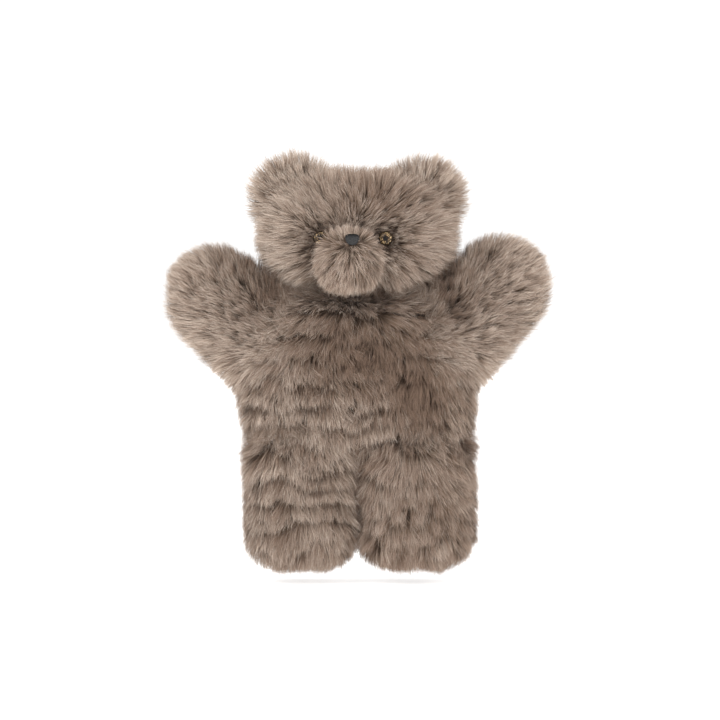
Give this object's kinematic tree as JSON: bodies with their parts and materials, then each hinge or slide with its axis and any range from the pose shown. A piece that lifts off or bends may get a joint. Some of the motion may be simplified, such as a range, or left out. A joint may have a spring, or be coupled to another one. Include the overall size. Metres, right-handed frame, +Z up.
{
  "type": "glove puppet",
  "caption": "Long-pile sheepskin bear glove puppet: lined hand pocket open at the back, finger sleeves in head and arms, jointed head, arms and legs.",
  "frame": {"origin": "middle of the hand opening, on the flat of the back, where a hand holds the puppet up", "axes": "+Z up along the body towards the head, -Y the way the bear looks, +X towards the bear's left side"},
  "size_m": [0.266, 0.086, 0.287],
  "materials": {
    "sheepskin": "long taupe wool pile, matt",
    "cotton": "plain woven cotton, matt",
    "fibrefill": "loose white polyester fill",
    "nose_leather": "slate leather, low sheen",
    "eye_amber": "clear amber over a dark pupil, glossy",
    "washer_plastic": "natural moulded plastic"
  },
  "bodies": {
    "torso": {"body_front_panel": "sheepskin", "body_back_panel": "sheepskin", "body_lining_front": "cotton", "body_lining_back": "cotton", "opening_hem": "cotton"},
    "neck": {"neck_seam_tape": "cotton"},
    "head": {"head_front_panel": "sheepskin", "head_back_panel": "sheepskin", "ear_left_front_panel": "sheepskin", "ear_left_back_panel": "sheepskin", "ear_right_front_panel": "sheepskin", "ear_right_back_panel": "sheepskin", "muzzle_panel": "sheepskin", "muzzle_stuffing": "fibrefill", "nose_patch": "nose_leather", "eye_left": "eye_amber", "eye_right": "eye_amber", "eye_washer_left": "washer_plastic", "eye_washer_right": "washer_plastic", "head_stuffing": "fibrefill", "head_finger_sleeve": "cotton"},
    "shoulder_left": {"armhole_left_seam_tape": "cotton"},
    "arm_left": {"arm_left_front_panel": "sheepskin", "arm_left_back_panel": "sheepskin", "arm_left_finger_sleeve": "cotton", "paw_left_stuffing": "fibrefill"},
    "shoulder_right": {"armhole_right_seam_tape": "cotton"},
    "arm_right": {"arm_right_front_panel": "sheepskin", "arm_right_back_panel": "sheepskin", "arm_right_finger_sleeve": "cotton", "paw_right_stuffing": "fibrefill"},
    "leg_left": {"leg_left_front_panel": "sheepskin", "leg_left_back_panel": "sheepskin", "leg_left_stuffing": "fibrefill"},
    "leg_right": {"leg_right_front_panel": "sheepskin", "leg_right_back_panel": "sheepskin", "leg_right_stuffing": "fibrefill"}
  },
  "joints": [
    {"name": "head_turn", "type": "hinge", "parent": "torso", "child": "neck", "pos_m": [0, -0.033, 0.066], "axis": [0, 0, 1], "range_deg": [-35, 35], "stiffness_Nm_per_rad": 0.25},
    {"name": "head_nod", "type": "hinge", "parent": "neck", "child": "head", "pos_m": [0, -0.033, 0.066], "axis": [1, 0, 0], "range_deg": [-15, 25], "stiffness_Nm_per_rad": 0.8},
    {"name": "arm_left_clap", "type": "hinge", "parent": "torso", "child": "shoulder_left", "pos_m": [0.06, -0.033, 0.041], "axis": [0, 0, -1], "range_deg": [-15, 60], "stiffness_Nm_per_rad": 0.25},
    {"name": "arm_left_lower", "type": "hinge", "parent": "shoulder_left", "child": "arm_left", "pos_m": [0.06, -0.033, 0.041], "axis": [0, 1, 0], "range_deg": [-12, 45], "stiffness_Nm_per_rad": 0.5},
    {"name": "arm_right_clap", "type": "hinge", "parent": "torso", "child": "shoulder_right", "pos_m": [-0.06, -0.033, 0.041], "axis": [0, 0, 1], "range_deg": [-15, 60], "stiffness_Nm_per_rad": 0.25},
    {"name": "arm_right_lower", "type": "hinge", "parent": "shoulder_right", "child": "arm_right", "pos_m": [-0.06, -0.033, 0.041], "axis": [0, -1, 0], "range_deg": [-12, 45], "stiffness_Nm_per_rad": 0.5},
    {"name": "leg_left_swing", "type": "hinge", "parent": "torso", "child": "leg_left", "pos_m": [0.041, -0.033, -0.064], "axis": [-1, 0, 0], "range_deg": [-20, 70], "stiffness_Nm_per_rad": 0.15},
    {"name": "leg_right_swing", "type": "hinge", "parent": "torso", "child": "leg_right", "pos_m": [-0.041, -0.033, -0.064], "axis": [-1, 0, 0], "range_deg": [-20, 70], "stiffness_Nm_per_rad": 0.15}
  ]
}
